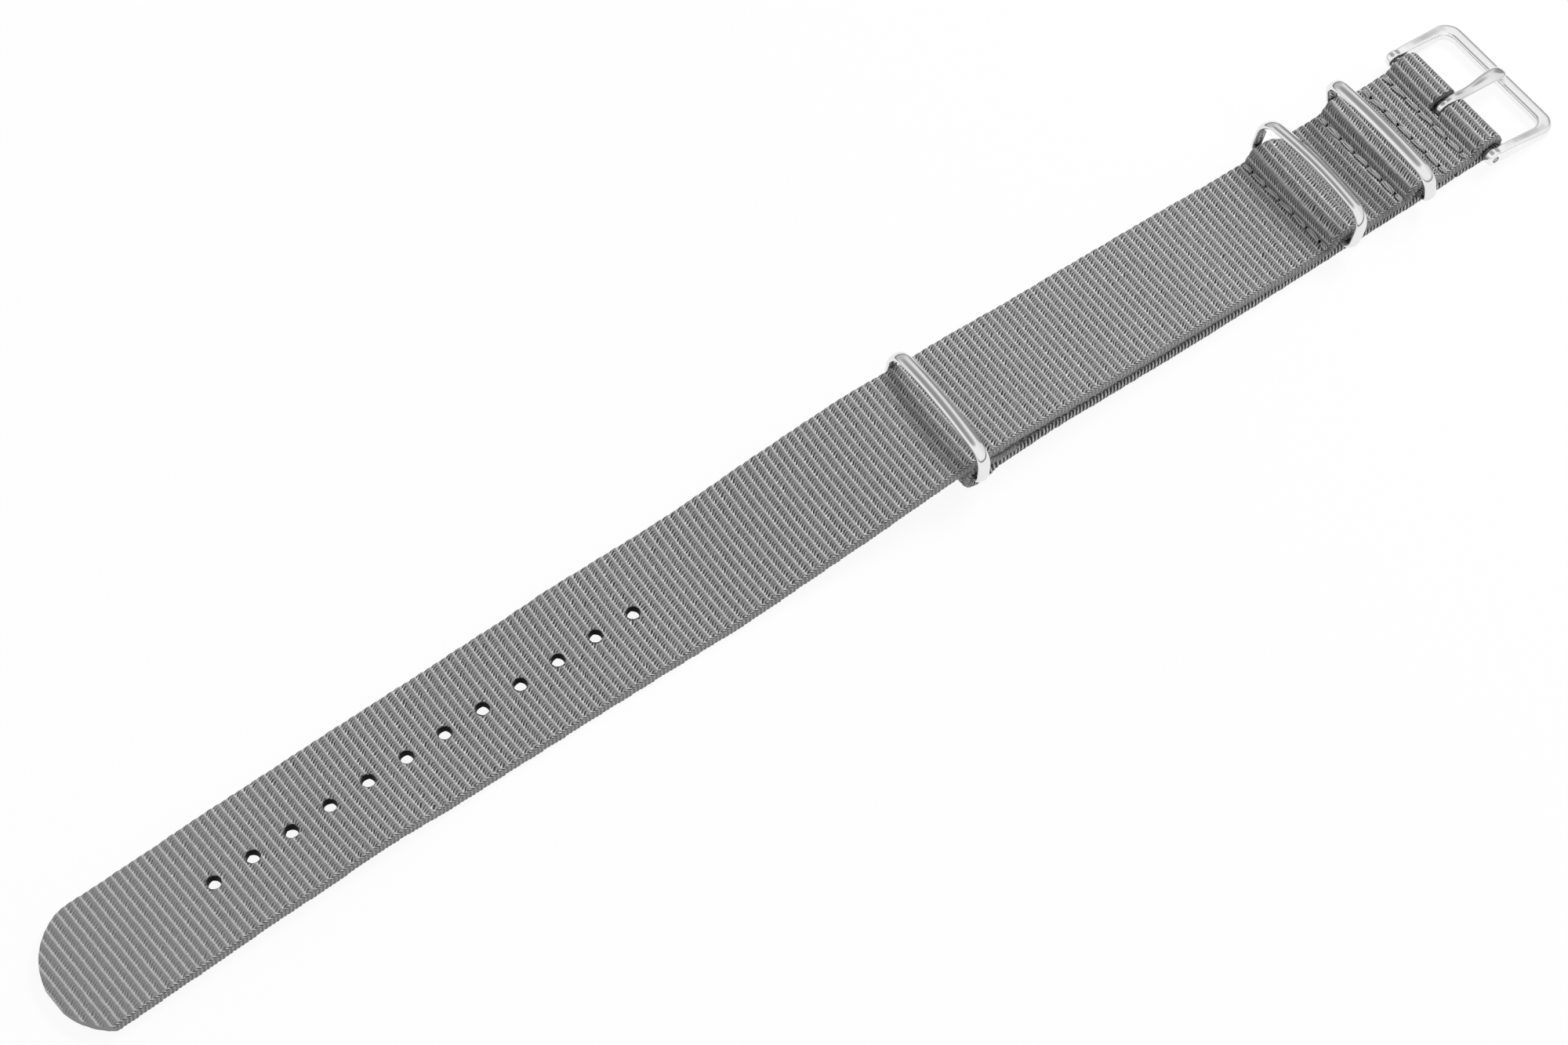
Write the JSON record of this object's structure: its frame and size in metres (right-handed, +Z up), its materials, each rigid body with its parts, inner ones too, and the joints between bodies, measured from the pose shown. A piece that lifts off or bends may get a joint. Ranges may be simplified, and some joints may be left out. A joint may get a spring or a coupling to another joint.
{
  "type": "nylon watch strap",
  "caption": "Pull-through watch strap of ribbed grey webbing, with a spring-bar buckle and bent steel keeper rings, laid out flat.",
  "frame": {"origin": "middle of the bounding box's bottom face, on the table that the strap lies on", "axes": "+X along the strap from the tail's tip to the buckle, +Y across it, +Z up from the table"},
  "size_m": [0.2546, 0.0244, 0.0101],
  "materials": {
    "webbing": "ribbed woven nylon",
    "thread": "glossy nylon thread",
    "polished_steel": "polished",
    "bar_steel": "drawn"
  },
  "bodies": {
    "strap": {"main_strap": "webbing", "keeper_strap": "webbing", "row_1_needle_thread": "thread", "row_1_bobbin_thread": "thread", "row_2_needle_thread": "thread", "row_2_bobbin_thread": "thread", "row_3_needle_thread": "thread", "row_3_bobbin_thread": "thread", "row_4_needle_thread": "thread", "row_4_bobbin_thread": "thread", "row_5_needle_thread": "thread", "row_5_bobbin_thread": "thread"},
    "buckle": {"buckle_frame": "polished_steel"},
    "tongue": {"buckle_tongue": "polished_steel"},
    "bar": {"bar_tube": "bar_steel", "bar_spring": "bar_steel"},
    "tip_near": {"bar_tip_near": "bar_steel"},
    "tip_far": {"bar_tip_far": "bar_steel"},
    "front_ring": {"keeper_front": "polished_steel"},
    "rear_ring": {"keeper_rear": "polished_steel"},
    "loose_ring": {"keeper_loose": "polished_steel"}
  },
  "joints": [
    {"name": "buckle_swing", "type": "hinge", "parent": "strap", "child": "buckle", "pos_m": [0.11507, 0, 0.00215], "axis": [0, -1, 0], "range_deg": [-90, 50]},
    {"name": "tongue_lift", "type": "hinge", "parent": "buckle", "child": "tongue", "pos_m": [0.11507, 0, 0.00215], "axis": [0, -1, 0], "range_deg": [0, 75]},
    {"name": "bar_spin", "type": "hinge", "parent": "strap", "child": "bar", "pos_m": [0.11507, 0, 0.00215], "axis": [0, -1, 0], "continuous": true},
    {"name": "tip_near_press", "type": "slide", "parent": "bar", "child": "tip_near", "axis": [0, 1, 0], "range_m": [0, 0.0014], "stiffness_N_per_m": 800, "springref_m": -0.0015, "deforming": ["bar_spring"]},
    {"name": "tip_far_press", "type": "slide", "parent": "bar", "child": "tip_far", "axis": [0, -1, 0], "range_m": [0, 0.0014], "stiffness_N_per_m": 800, "springref_m": -0.0015, "deforming": ["bar_spring"]},
    {"name": "front_ring_tilt", "type": "hinge", "parent": "strap", "child": "front_ring", "pos_m": [0.10257, 0, 0.00232], "axis": [0, 1, 0], "range_deg": [-32, 48]},
    {"name": "rear_ring_tilt", "type": "hinge", "parent": "strap", "child": "rear_ring", "pos_m": [0.08787, 0, 0.00232], "axis": [0, 1, 0], "range_deg": [-56, 24]},
    {"name": "loose_ring_tilt", "type": "hinge", "parent": "strap", "child": "loose_ring", "pos_m": [0.02017, 0, 0.00247], "axis": [0, 1, 0], "range_deg": [-36, 24]}
  ]
}
